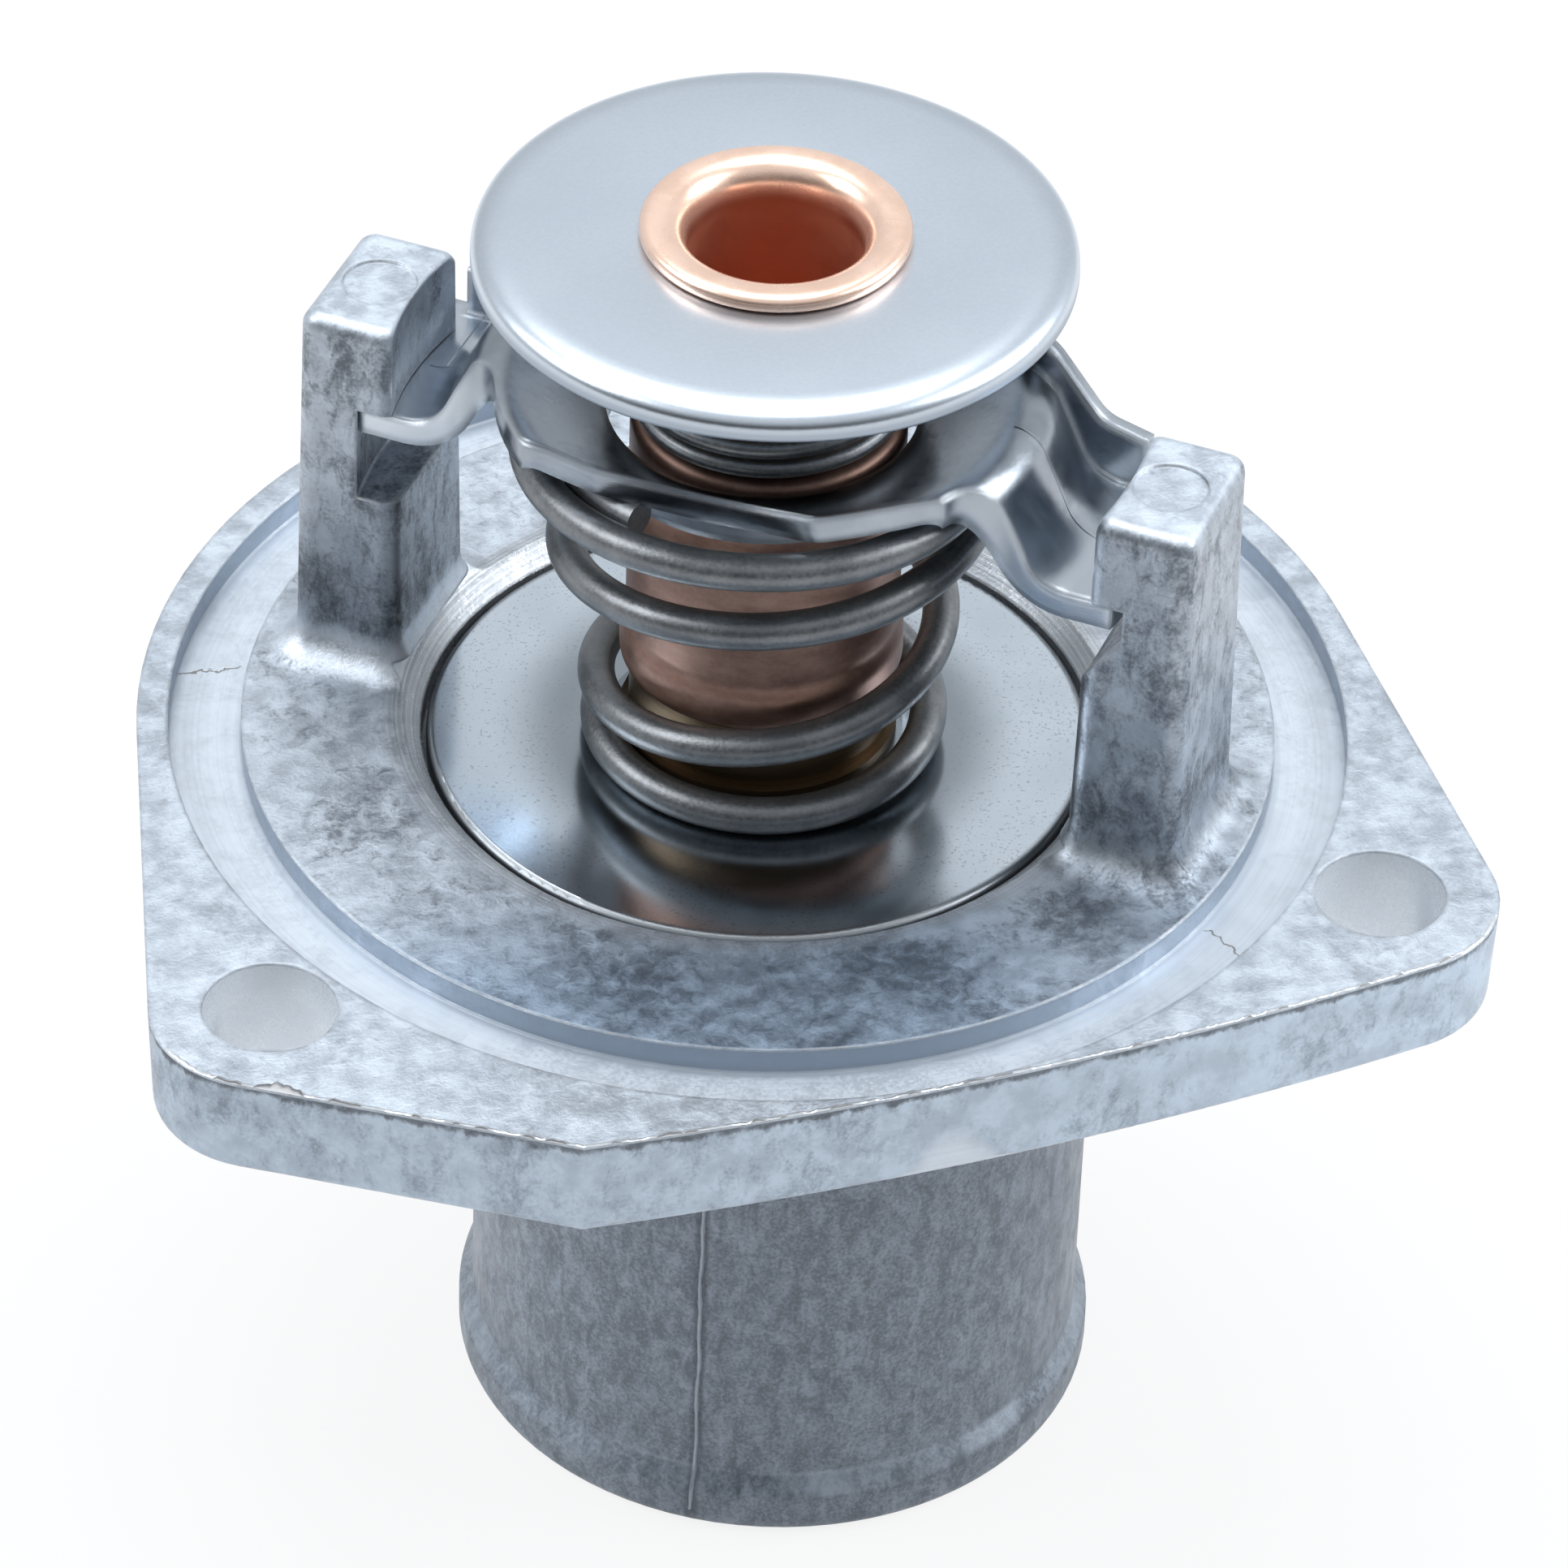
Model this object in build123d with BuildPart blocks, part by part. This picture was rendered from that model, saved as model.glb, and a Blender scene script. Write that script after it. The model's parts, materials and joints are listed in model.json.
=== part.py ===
"""Engine thermostat in its housing: a die-cast cover with a hose neck and two hooked posts, a stamped
bridge twisted under the hooks, and a wax element that carries the main valve and the bypass valve.

Frame: the origin is where the valve axis meets the flange face. +Z points from the flange to the
bypass disc, +X runs along the line of the two bolt holes. Millimetres."""

import os
from math import atan2, cos, degrees, hypot, radians, sin, sqrt

from build123d import *

os.makedirs("parts", exist_ok=True)

# Clearances
press_gap = 0.03
running_gap = 0.08
contact_gap = 0.05

# Flange
flange_t = 7.3
flange_r = 40.0
bolt_half_spacing = 35.35
bolt_line_y = -24.0
bolt_hole_r = 4.2
corner_r = 7.55
flange_draft = 2.0
front_vertex = (-18.5, -40.0)
front_end_slope = 15.5
flange_edge_r = 0.9

# Seal groove and the boss inside it
groove_in_r = 33.3
groove_out_r = 38.0
groove_depth = 1.85

# Hose neck, a little off the valve axis
neck_shift = (2.3, -0.8)
neck_end = 52.3
neck_r = 20.4
neck_wall = 3.0
neck_root_r = 2.0
bead_out = 0.9
bead_land = 3.2
bead_step = 1.3
bead_edge_r = 1.2

# Valve seat
disc_r = 21.4
disc_gap = 0.35
seat_land = 2.6
seat_chamfer = 1.2
port_depth = 5.0

# Crosspiece in the neck, which holds the foot of the piston
cross_top = 14.0
cross_h = 8.0
cross_w = 5.0
cross_boss_r = 6.5

# Posts with their hooks
post_turn = -32.66
post_in = 23.3
post_out = 30.0
post_w = 10.8
post_h = 26.4
post_draft = 0.8
post_side_r = 1.2
post_edge_r = 1.0
post_foot_r = 2.6
hook_h = 6.2
hook_bore_r = 24.15
slot_h = 6.8
slot_r = 26.4
ramp_drop = 2.5
ejector_r = 2.4
ejector_depth = 0.15

# Bridge
plate_t = 1.8
bridge_shift = 0.45
lug_front = 5.1
lug_rear = 8.3
lug_end_gap = 0.5
notch_r = 4.0
bend_r = 21.0
bend_fillet = 3.0
crest_r = 17.6
crest_rise = 7.65
crest_fillet = 2.3
hole_gap = 0.8
bowl_slope = 20.5
collar_t = 0.8
collar_drop = 6.0
dish_r = 16.9
scoop_left = -130.2
scoop_right = -27.5
scoop_start = (-6.0, -12.75)
scoop_middle = (1.5, -11.35)
scoop_end = (8.3, -12.3)
scoop_corner_r = 1.5
rear_wall_t = 1.15
rear_wall_reach = 23.2
rear_wall_low = 3.3
rear_wall_mid = 4.3
rear_wall_high = 2.4
rear_wall_fillet = 2.5

# Main valve
disc_drop = 1.1
disc_t = 1.0
disc_skirt = 1.7
disc_edge_r = 0.5
pad_r = 9.3
pad_rise = 0.8

# Guide, retaining ring, piston and boot
guide_r = 8.4
rim_r = 8.9
rim_h = 1.0
guide_plug_h = 2.6
guide_neck_r = 6.0
guide_nose = 9.0
guide_nose_r = 4.4
retainer_r = 8.6
retainer_h = 1.6
retainer_edge_r = 0.4
piston_r = 2.4
piston_top = 15.0
piston_tip = 0.6
foot_depth = 4.0
boot_wall = 1.6
boot_flange_t = 1.4
boot_top_t = 1.2
chafe_ring_t = 1.0

# Wax element
cup_r = 9.1
cup_body_r = 8.75
cup_wall = 1.2
cup_foot = 5.4
cup_swell_h = 2.4
cup_swell_end = 3.4
cup_shoulder = 24.8
cup_shoulder_r = 0.9
cup_foot_r = 0.9
cup_roof_t = 2.4
tube_r = 6.75
tube_wall = 0.75
tube_floor = 25.8
lip_r = 8.5
lip_h = 1.1
lip_edge_r = 0.5
lip_mouth_r = 0.95

# Bypass valve
bypass_r = 18.9
bypass_top = 37.75
bypass_t = 0.9
bypass_rim = 2.0
bypass_edge_r = 1.1

# Springs
wire_r = 1.2
spring_low_r = 10.9
spring_high_r = 14.7
spring_end_r = 13.2
spring_turns = 4.175
spring_start = 162.0
closed_pitch = 2.6
spring_open_from = 0.7
spring_open_to = 3.0
bypass_wire_r = 0.6
bypass_spring_r = 8.1
bypass_turns = 5.25
bypass_start = 165.0
bypass_pitch = 1.4
bypass_open_from = 1.2
bypass_open_to = 4.0
points_a_turn = 12

# Heights and radii that follow from the values above
disc_top = -disc_drop
seat_z = disc_top - disc_skirt - contact_gap
seat_bore_r = disc_r + disc_gap
port_r = seat_bore_r - seat_land
bore_r = neck_r - neck_wall
hook_z = post_h - hook_h
ledge_z = hook_z - slot_h
ramp_top = hook_z - ramp_drop
lug_top = hook_z - running_gap
crest_z = lug_top + crest_rise
collar_end = crest_z - collar_drop
hole_r = cup_r + hole_gap
pad_top = disc_top + pad_rise
pad_bottom = pad_top - disc_t
cavity_r = cup_body_r - cup_wall
cavity_top = tube_floor - cup_roof_t
plug_r = cavity_r - press_gap
guide_bore_r = piston_r + running_gap
plug_top = cup_foot + guide_plug_h
boot_foot = plug_top + chafe_ring_t
boot_r = guide_bore_r + boot_wall
boot_top = piston_top + contact_gap + boot_top_t
piston_foot = -cross_top - foot_depth
bypass_bottom = bypass_top - bypass_t
lip_bottom = bypass_top + contact_gap
lip_top = lip_bottom + lip_h


def away(radius, angle, center=(0, 0)):
    """Point at a radius and an angle in degrees from a centre."""
    return (center[0] + radius * cos(radians(angle)), center[1] + radius * sin(radians(angle)))


def bearing(start, end):
    """Direction in degrees from one point to another."""
    return degrees(atan2(end[1] - start[1], end[0] - start[0]))


def side_normal(hole, side):
    """Direction in which the straight side that touches the rear arc and a corner faces."""
    spread = degrees(atan2(sqrt(hypot(*hole) ** 2 - (flange_r - corner_r) ** 2), flange_r - corner_r))
    return bearing((0, 0), hole) + side * spread


def flange_outline():
    """Closed outline of the flange: rear arc, two straight sides, two corners and a blunt front vertex."""
    left_hole = (-bolt_half_spacing, bolt_line_y)
    right_hole = (bolt_half_spacing, bolt_line_y)
    left_normal = side_normal(left_hole, -1) + 360
    right_normal = side_normal(right_hole, 1)
    reach = hypot(front_vertex[0] - left_hole[0], front_vertex[1] - left_hole[1])
    low_spread = degrees(atan2(sqrt(reach**2 - corner_r**2), corner_r))
    low_normal = bearing(left_hole, front_vertex) - low_spread + 360
    last_normal = front_end_slope - 90
    right_low = away(corner_r, last_normal, right_hole)
    chord = bearing(front_vertex, right_low)
    span = hypot(right_low[0] - front_vertex[0], right_low[1] - front_vertex[1])
    bow_r = span / (2 * sin(radians(front_end_slope - chord)))
    bow_center = away(bow_r, front_end_slope + 90, right_low)
    right_side = away(corner_r, right_normal, right_hole)
    left_side = away(corner_r, left_normal, left_hole)
    left_low = away(corner_r, low_normal, left_hole)
    ThreePointArc(right_low, away(corner_r, (right_normal + last_normal) / 2, right_hole), right_side)
    Line(right_side, away(flange_r, right_normal))
    ThreePointArc(away(flange_r, right_normal), (0, flange_r), away(flange_r, left_normal))
    Line(away(flange_r, left_normal), left_side)
    ThreePointArc(left_side, away(corner_r, (left_normal + low_normal) / 2, left_hole), left_low)
    Line(left_low, front_vertex)
    ThreePointArc(front_vertex, away(bow_r, chord - 90, bow_center), right_low)


def washer_section(inner, outer, low, high):
    """Rectangle in the plane of the axis, from one radius to another and one height to another."""
    with Locations(((inner + outer) / 2, (low + high) / 2)):
        return Rectangle(outer - inner, high - low)


def smooth(share):
    """S-shaped step from 0 to 1."""
    held = min(max(share, 0), 1)
    return held * held * (3 - 2 * held)


neck_plane = Plane(origin=(neck_shift[0], neck_shift[1], 0), x_dir=(1, 0, 0), z_dir=(0, -1, 0))
neck_axis = Axis((neck_shift[0], neck_shift[1], 0), (0, 0, 1))
posts = Plane.XY.rotated((0, 0, post_turn))
across_posts = Plane(origin=(0, 0, 0), x_dir=posts.x_dir, z_dir=-posts.y_dir)
bridge_center = posts.from_local_coords((-bridge_shift, 0, 0))
bridge_plan = Plane(origin=bridge_center, x_dir=posts.x_dir)
bridge_section = Plane(origin=bridge_center, x_dir=posts.x_dir, z_dir=-posts.y_dir)
bridge_axis = Axis(bridge_center, (0, 0, 1))

with BuildPart() as housing:
    # Flange plate
    with BuildSketch():
        with BuildLine():
            flange_outline()
        make_face()
    extrude(amount=-flange_t, taper=flange_draft)
    # Hose neck with its end bead
    bead_r = neck_r + bead_out
    bead_foot = -neck_end + bead_land
    with BuildSketch(neck_plane):
        with BuildLine():
            Polyline(
                (0, -1),
                (neck_r, -1),
                (neck_r, bead_foot + bead_step),
                (bead_r, bead_foot),
                (bead_r, -neck_end),
                (0, -neck_end),
                close=True,
            )
        make_face()
        fillet(vertices().group_by(Axis.X)[-1], bead_edge_r)
    revolve(axis=neck_axis)
    low_edges = edges().filter_by_position(Axis.Z, -flange_t - 0.01, -flange_t + 0.01)
    neck_root = low_edges.filter_by(GeomType.CIRCLE).filter_by(lambda edge: abs(edge.radius - neck_r) < 0.01)
    fillet(low_edges - neck_root, flange_edge_r)
    fillet(neck_root, neck_root_r)
    # Two posts with rounded feet
    post_half = (post_in + post_out) / 2
    post_spread = post_h * sin(radians(post_draft))
    with BuildSketch(posts):
        with Locations((post_half, 0), (-post_half, 0)):
            Rectangle(post_out - post_in + 2 * post_spread, post_w + 2 * post_spread)
    extrude(amount=post_h, taper=post_draft)
    fillet(edges().filter_by_position(Axis.Z, post_h / 2 - 1, post_h / 2 + 1), post_side_r)
    feet = edges().filter_by_position(Axis.Z, -0.01, 0.01)
    outer_feet = feet.filter_by(lambda edge: abs(posts.to_local_coords(edge.center()).X) > post_in + 1)
    post_feet = outer_feet.filter_by(lambda edge: edge.length < post_w + 1)
    fillet(post_feet.filter_by(lambda edge: edge.center().length < groove_in_r), post_foot_r)
    fillet(faces().group_by(Axis.Z)[-1].edges(), post_edge_r)
    # Turned bore and slot that leave the hooks, with a cast ramp below the right one
    for side, slot_floor in ((1, ramp_top), (-1, ledge_z)):
        for half_turn in (-90, 90):
            with BuildSketch(across_posts):
                with BuildLine():
                    Polyline(
                        (0, ledge_z),
                        (side * post_in, ledge_z),
                        (side * slot_r, slot_floor),
                        (side * slot_r, hook_z),
                        (side * hook_bore_r, hook_z),
                        (side * hook_bore_r, post_h + 1),
                        (0, post_h + 1),
                        close=True,
                    )
                make_face()
            revolve(axis=Axis.Z, revolution_arc=half_turn, mode=Mode.SUBTRACT)
    # Ejector pin marks on the tops of the posts
    with BuildSketch(posts.offset(post_h)):
        with Locations((post_half, 0), (-post_half, 0)):
            Circle(ejector_r)
    extrude(amount=-ejector_depth, mode=Mode.SUBTRACT)
    # Seal groove
    with BuildSketch(Plane.XY.offset(-groove_depth)):
        Circle(groove_out_r)
        Circle(groove_in_r, mode=Mode.SUBTRACT)
    extrude(amount=groove_depth + post_foot_r, mode=Mode.SUBTRACT)
    # Seat pocket, chamfered at its mouth, and the water passage below it
    with BuildSketch(Plane.XZ):
        with BuildLine():
            Polyline(
                (0, 1),
                (seat_bore_r + seat_chamfer + 1, 1),
                (seat_bore_r + seat_chamfer, 0),
                (seat_bore_r, -seat_chamfer),
                (seat_bore_r, seat_z),
                (port_r, seat_z),
                (port_r, -port_depth),
                (0, -port_depth),
                close=True,
            )
        make_face()
    revolve(axis=Axis.Z, mode=Mode.SUBTRACT)
    with BuildSketch(Plane.XY.offset(-port_depth).shift_origin((neck_shift[0], neck_shift[1], -port_depth))):
        Circle(bore_r)
    extrude(amount=-neck_end, mode=Mode.SUBTRACT)
    # Crosspiece with the blind hole for the foot of the piston
    with BuildSketch(Plane.XY.offset(-cross_top - cross_h)):
        with Locations(neck_shift):
            Rectangle(2 * bore_r + neck_wall, cross_w)
        Circle(cross_boss_r)
    extrude(amount=cross_h)
    with BuildSketch(Plane.XY.offset(piston_foot)):
        Circle(piston_r + press_gap)
    extrude(amount=foot_depth + 1, mode=Mode.SUBTRACT)
    # Bolt holes
    with BuildSketch(Plane.XY):
        with Locations((-bolt_half_spacing, bolt_line_y), (bolt_half_spacing, bolt_line_y)):
            Circle(bolt_hole_r)
    extrude(amount=-flange_t, mode=Mode.SUBTRACT)

crest_top = crest_z - crest_fillet * (1 / cos(radians(45)) - 1)
bowl_tangent = sin(radians(bowl_slope)) / cos(radians(bowl_slope))
with BuildPart() as rear_wall:
    # Band along the rear edge of the plan
    with BuildSketch(bridge_plan.offset(lug_top - plate_t / 2)) as band:
        Circle(dish_r)
        with Locations((0, lug_rear / 2)):
            Rectangle(2 * rear_wall_reach, lug_rear)
        rear_notches = band.vertices().filter_by(lambda corner: corner.Y > lug_rear - 0.01)
        fillet(rear_notches.filter_by(lambda corner: abs(corner.X) < dish_r), notch_r)
        offset(amount=-rear_wall_t, mode=Mode.SUBTRACT)
        with Locations((0, -dish_r)):
            Rectangle(4 * dish_r, 2 * dish_r + 2, mode=Mode.SUBTRACT)
    extrude(amount=crest_rise + plate_t + rear_wall_high)
    # Its upper edge follows the lug, the web and the crest
    with BuildSketch(bridge_section):
        with BuildLine():
            FilletPolyline(
                (0, crest_top + rear_wall_high),
                (crest_r - 0.75 * plate_t, crest_top + rear_wall_high),
                (bend_r - plate_t / 2, lug_top + rear_wall_mid),
                (rear_wall_reach + 1, lug_top + rear_wall_low),
                radius=rear_wall_fillet,
            )
            Polyline(
                (rear_wall_reach + 1, lug_top + rear_wall_low),
                (rear_wall_reach + 1, lug_top - plate_t / 2),
                (bend_r - plate_t / 2, lug_top - plate_t / 2),
                (crest_r - plate_t / 2, crest_top - plate_t / 2),
                (0, crest_top - plate_t / 2),
                (0, crest_top + rear_wall_high),
            )
        make_face()
        mirror(about=Plane.YZ)
    extrude(amount=2 * dish_r, both=True, mode=Mode.INTERSECT)

with BuildPart() as bridge:
    # Dished section: flat lug, steep web, rounded crest and a bowl that falls to the hole
    hole_edge_z = crest_z - (crest_r - hole_r) * bowl_tangent
    with BuildSketch(bridge_section):
        with BuildLine():
            section = FilletPolyline(
                (slot_r - lug_end_gap, lug_top),
                (bend_r, lug_top),
                (crest_r, crest_z),
                (hole_r, hole_edge_z),
                radius=[bend_fillet, crest_fillet],
            )
            offset(section, amount=plate_t, side=Side.LEFT)
        make_face()
        washer_section(hole_r, hole_r + collar_t, collar_end, hole_edge_z - plate_t / 2)
    revolve(axis=bridge_axis)
    # Trimmed to the plan: round dish, two flared lugs, and a scoop at the front
    with BuildSketch(bridge_plan.offset(collar_end - plate_t)) as plan:
        Circle(dish_r)
        with Locations((0, (lug_rear - lug_front) / 2)):
            Rectangle(2 * slot_r + plate_t, lug_rear + lug_front)
        notches = plan.vertices().filter_by(lambda corner: abs(corner.X) < slot_r)
        fillet(notches, notch_r)
        left_corner = away(dish_r, scoop_left)
        right_corner = away(dish_r, scoop_right)
        with BuildLine():
            ThreePointArc(scoop_start, scoop_middle, scoop_end)
            Polyline(scoop_end, right_corner, (right_corner[0], -2 * dish_r))
            Polyline((right_corner[0], -2 * dish_r), (left_corner[0], -2 * dish_r), left_corner, scoop_start)
        make_face(mode=Mode.SUBTRACT)
        scoop_corners = plan.vertices().filter_by(lambda corner: corner.Y < scoop_end[1] + 0.1)
        fillet(scoop_corners, scoop_corner_r)
    extrude(amount=crest_rise, both=True, mode=Mode.INTERSECT)
    add(rear_wall.part)

with BuildPart() as main_valve:
    # Flat disc with a raised pad in the middle and a skirt that meets the seat
    with BuildSketch(Plane.XZ):
        with BuildLine():
            face_line = Polyline(
                (guide_neck_r + press_gap, pad_top),
                (pad_r, pad_top),
                (pad_r + pad_rise, disc_top),
                (disc_r, disc_top),
                (disc_r, disc_top - disc_skirt),
            )
            offset(face_line, amount=disc_t, side=Side.RIGHT)
        make_face()
        rim = vertices().filter_by_position(Axis.Y, disc_top - 0.01, disc_top + 0.01).sort_by(Axis.X)[-1]
        fillet(rim, disc_edge_r)
    revolve(axis=Axis.Z)

with BuildPart() as guide:
    # Turned guide: plug in the cup, body on the valve disc, neck and nose along the piston
    with BuildSketch(Plane.XZ):
        with BuildLine():
            Polyline(
                (guide_bore_r, -guide_nose),
                (guide_nose_r, -guide_nose),
                (guide_neck_r, -guide_nose + guide_neck_r - guide_nose_r),
                (guide_neck_r, pad_top),
                (rim_r, pad_top),
                (rim_r, pad_top + rim_h),
                (guide_r, pad_top + rim_h),
                (guide_r, cup_foot),
                (plug_r, cup_foot),
                (plug_r, plug_top),
                (guide_bore_r, plug_top),
                close=True,
            )
        make_face()
    revolve(axis=Axis.Z)

with BuildPart() as retaining_ring:
    # Ring pressed on the neck of the guide, under the valve disc
    with BuildSketch(Plane.XZ):
        washer_section(guide_neck_r + press_gap, retainer_r, pad_bottom - retainer_h, pad_bottom)
        fillet(vertices().group_by(Axis.Y)[0], retainer_edge_r)
    revolve(axis=Axis.Z)

with BuildPart() as wax_cup:
    # Drawn cup with a swollen foot, its neck, and the lip that is flared over the bypass disc
    with BuildSketch(Plane.XZ):
        with BuildLine():
            Polyline(
                (cavity_r, cup_foot),
                (cup_r, cup_foot),
                (cup_r, cup_foot + cup_swell_h),
                (cup_body_r, cup_foot + cup_swell_end),
                (cup_body_r, cup_shoulder),
                (tube_r, cup_shoulder),
                (tube_r, lip_bottom),
                (lip_r, lip_bottom),
                (lip_r, lip_top),
                (tube_r - tube_wall, lip_top),
                (tube_r - tube_wall, tube_floor),
                (0, tube_floor),
                (0, cavity_top),
                (cavity_r, cavity_top),
                close=True,
            )
        make_face()
        corners = vertices()
        fillet(corners.filter_by_position(Axis.Y, cup_foot, cup_foot).sort_by(Axis.X)[-1], cup_foot_r)
        shoulder = vertices().filter_by_position(Axis.Y, cup_shoulder - 0.01, cup_shoulder + 0.01)
        fillet(shoulder.sort_by(Axis.X)[-1], cup_shoulder_r)
        lip_corners = vertices().group_by(Axis.Y)[-1].sort_by(Axis.X)
        fillet(lip_corners[-1], lip_edge_r)
        fillet(vertices().group_by(Axis.Y)[-1].sort_by(Axis.X)[0], lip_mouth_r)
    revolve(axis=Axis.Z)

with BuildPart() as chafe_ring:
    # Ring that keeps the boot from being squeezed into the guide
    with BuildSketch(Plane.XZ):
        washer_section(guide_bore_r, plug_r, plug_top, boot_foot)
    revolve(axis=Axis.Z)

with BuildPart() as boot:
    # Rubber boot over the piston, held by its flange
    with BuildSketch(Plane.XZ):
        with BuildLine():
            Polyline(
                (guide_bore_r, boot_foot),
                (plug_r, boot_foot),
                (plug_r, boot_foot + boot_flange_t),
                (boot_r, boot_foot + boot_flange_t),
                (boot_r, boot_top),
                (0, boot_top),
                (0, piston_top + contact_gap),
                (guide_bore_r, piston_top + contact_gap),
                close=True,
            )
        make_face()
    revolve(axis=Axis.Z)

with BuildPart() as wax:
    # Wax charge round the boot
    with BuildSketch(Plane.XZ):
        wax_r = cavity_r - press_gap
        wax_top = cavity_top - press_gap
        washer_section(boot_r + press_gap, wax_r, boot_foot + boot_flange_t, wax_top)
        washer_section(0, wax_r, boot_top + press_gap, wax_top)
    revolve(axis=Axis.Z)

with BuildPart() as piston:
    # Pin whose foot stands in the crosspiece and whose tip lies in the boot
    with BuildSketch(Plane.XY.offset(piston_foot)):
        Circle(piston_r)
    extrude(amount=piston_top - piston_foot)
    chamfer(piston.edges().group_by(Axis.Z)[-1], piston_tip)

with BuildPart() as bypass_disc:
    # Disc with a rolled rim, which slides on the neck of the cup
    with BuildSketch(Plane.XZ):
        with BuildLine():
            top_line = FilletPolyline(
                (tube_r + running_gap, bypass_top),
                (bypass_r, bypass_top),
                (bypass_r, bypass_top - bypass_rim),
                radius=bypass_edge_r,
            )
            offset(top_line, amount=bypass_t, side=Side.RIGHT)
        make_face()
    revolve(axis=Axis.Z)

with BuildPart() as main_spring:
    # Conical spring: a closed coil on the valve disc, open turns that widen, and a tucked end under the bowl
    first_z = disc_top + wire_r + contact_gap
    bowl_over_end = crest_z - (crest_r - spring_end_r) * bowl_tangent
    under_bowl = bowl_over_end - (plate_t + wire_r) / cos(radians(bowl_slope))
    free_rise = under_bowl - contact_gap - first_z - closed_pitch * spring_turns
    coil = []
    coil_steps = round(spring_turns * points_a_turn)
    for step in range(coil_steps + 1):
        turn = spring_turns * step / coil_steps
        opened = smooth((turn - spring_open_from) / (spring_open_to - spring_open_from))
        tucked = smooth(turn - spring_turns + 1)
        coil_r = spring_low_r + (spring_high_r - spring_low_r) * opened
        coil_r -= (spring_high_r - spring_end_r) * tucked
        coil_z = first_z + closed_pitch * turn + free_rise * opened
        leaning = turn / spring_turns
        coil_center = (bridge_center.X * leaning, bridge_center.Y * leaning)
        coil.append((*away(coil_r, spring_start + 360 * turn, coil_center), coil_z))
    with BuildLine() as wire:
        Spline(*coil)
    with BuildSketch(Plane(origin=wire.line @ 0, z_dir=wire.line % 0)):
        Circle(wire_r)
    sweep()

with BuildPart() as bypass_spring:
    # Small spring round the neck, from the shoulder of the cup to the bypass disc
    low_z = cup_shoulder + bypass_wire_r + contact_gap
    high_z = bypass_bottom - bypass_wire_r - contact_gap
    small_rise = high_z - low_z - bypass_pitch * bypass_turns
    small_coil = []
    small_steps = round(bypass_turns * points_a_turn)
    for step in range(small_steps + 1):
        turn = bypass_turns * step / small_steps
        opened = smooth((turn - bypass_open_from) / (bypass_open_to - bypass_open_from))
        small_z = low_z + bypass_pitch * turn + small_rise * opened
        small_coil.append((*away(bypass_spring_r, bypass_start + 360 * turn), small_z))
    with BuildLine() as small_wire:
        Spline(*small_coil)
    with BuildSketch(Plane(origin=small_wire.line @ 0, z_dir=small_wire.line % 0)):
        Circle(bypass_wire_r)
    sweep()

pieces = {
    "housing": housing,
    "bridge": bridge,
    "main_valve": main_valve,
    "guide": guide,
    "retaining_ring": retaining_ring,
    "wax_cup": wax_cup,
    "chafe_ring": chafe_ring,
    "boot": boot,
    "wax": wax,
    "piston": piston,
    "bypass_disc": bypass_disc,
    "main_spring": main_spring,
    "bypass_spring": bypass_spring,
}
for name, piece in pieces.items():
    piece.part.label = name
    export_step(piece.part, f"parts/{name}.step")
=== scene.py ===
"""Looks of an engine thermostat: rough die-cast housing, stamped bridge, springs, valve discs and a copper
wax cup. Lengths are metres, in the frame of the construction: origin on the valve axis at the flange face,
+Z up. A share is a number from 0 to 1."""

import json
from math import cos, hypot, pi, radians, sin

import bmesh
import bpy
from mathutils import Matrix, Vector, noise
from mathutils.bvhtree import BVHTree
from mathutils.kdtree import KDTree


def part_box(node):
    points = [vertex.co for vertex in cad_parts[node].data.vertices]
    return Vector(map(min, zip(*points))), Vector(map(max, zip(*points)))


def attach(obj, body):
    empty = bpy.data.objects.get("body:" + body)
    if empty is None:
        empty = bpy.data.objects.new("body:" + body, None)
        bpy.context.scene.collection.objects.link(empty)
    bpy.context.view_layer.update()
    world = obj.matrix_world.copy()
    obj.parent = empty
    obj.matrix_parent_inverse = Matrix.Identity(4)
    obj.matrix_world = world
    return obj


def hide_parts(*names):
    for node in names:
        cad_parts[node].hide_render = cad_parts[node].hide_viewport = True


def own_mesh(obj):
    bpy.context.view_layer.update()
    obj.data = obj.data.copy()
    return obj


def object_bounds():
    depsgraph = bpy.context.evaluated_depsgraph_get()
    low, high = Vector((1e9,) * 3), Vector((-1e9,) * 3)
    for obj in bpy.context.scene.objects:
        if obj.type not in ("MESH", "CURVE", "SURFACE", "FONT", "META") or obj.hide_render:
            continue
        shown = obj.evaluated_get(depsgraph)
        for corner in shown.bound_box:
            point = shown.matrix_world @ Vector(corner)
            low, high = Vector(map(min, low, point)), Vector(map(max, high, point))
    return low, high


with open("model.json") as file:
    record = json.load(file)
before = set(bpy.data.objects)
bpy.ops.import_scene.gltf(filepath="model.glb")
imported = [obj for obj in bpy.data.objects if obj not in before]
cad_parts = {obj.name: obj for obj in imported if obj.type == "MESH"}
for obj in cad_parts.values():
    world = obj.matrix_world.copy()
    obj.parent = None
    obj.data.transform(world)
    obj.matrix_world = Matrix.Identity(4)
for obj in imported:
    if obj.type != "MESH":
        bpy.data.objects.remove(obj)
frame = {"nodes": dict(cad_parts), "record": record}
cad_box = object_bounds()

mm = 0.001
merge_gap = 1e-7  # points of a mesh that lie closer than this are one
sharp_angle = radians(42)

# Camera, fitted to the coaxial circles of the photograph
camera_place = (-0.09486, -0.43663, 0.35529)
camera_lens = 203.3
camera_sensor = 36.0
camera_yaw = radians(-0.183)
camera_pitch = radians(0.451)
camera_roll = radians(2.110)

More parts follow.
